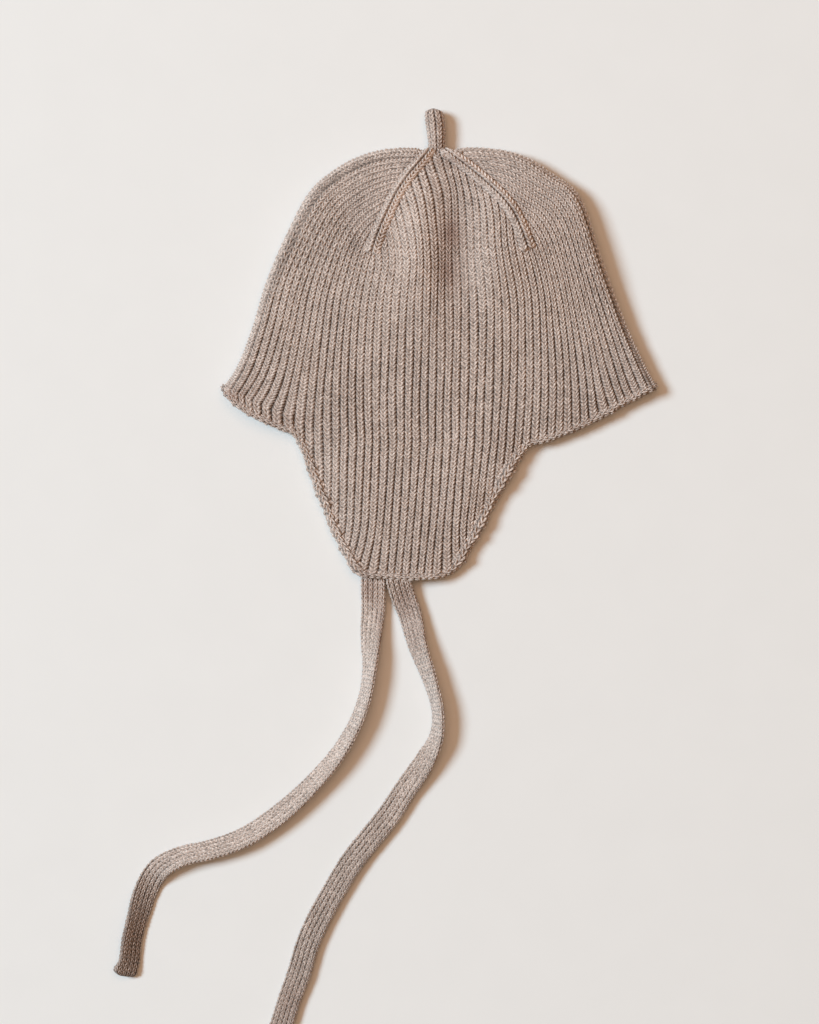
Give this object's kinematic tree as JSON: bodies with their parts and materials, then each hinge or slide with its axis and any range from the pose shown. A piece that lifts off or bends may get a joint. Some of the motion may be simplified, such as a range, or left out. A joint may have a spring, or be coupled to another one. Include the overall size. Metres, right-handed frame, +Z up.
{
  "type": "knitted baby bonnet",
  "caption": "Rib-knit wool baby bonnet with ear flaps, a short top stem and long flat ties, lying flat on its side.",
  "frame": {"origin": "on the surface that the bonnet lies on, under the middle of its box without the ties", "axes": "+Z up away from the surface, +Y from the ear flaps towards the top stem, +X across the brim"},
  "size_m": [0.2715, 0.4704, 0.0236],
  "materials": {
    "body_wool": "heathered taupe fine wool in rib knit, matt",
    "stem_wool": "heathered taupe wool cord knit, matt",
    "tie_wool": "heathered taupe wool in flat narrow rib knit, matt"
  },
  "bodies": {
    "root": {"bonnet_body": "body_wool", "top_stem": "stem_wool", "lower_flap_tie": "tie_wool", "upper_flap_tie": "tie_wool"}
  },
  "joints": []
}
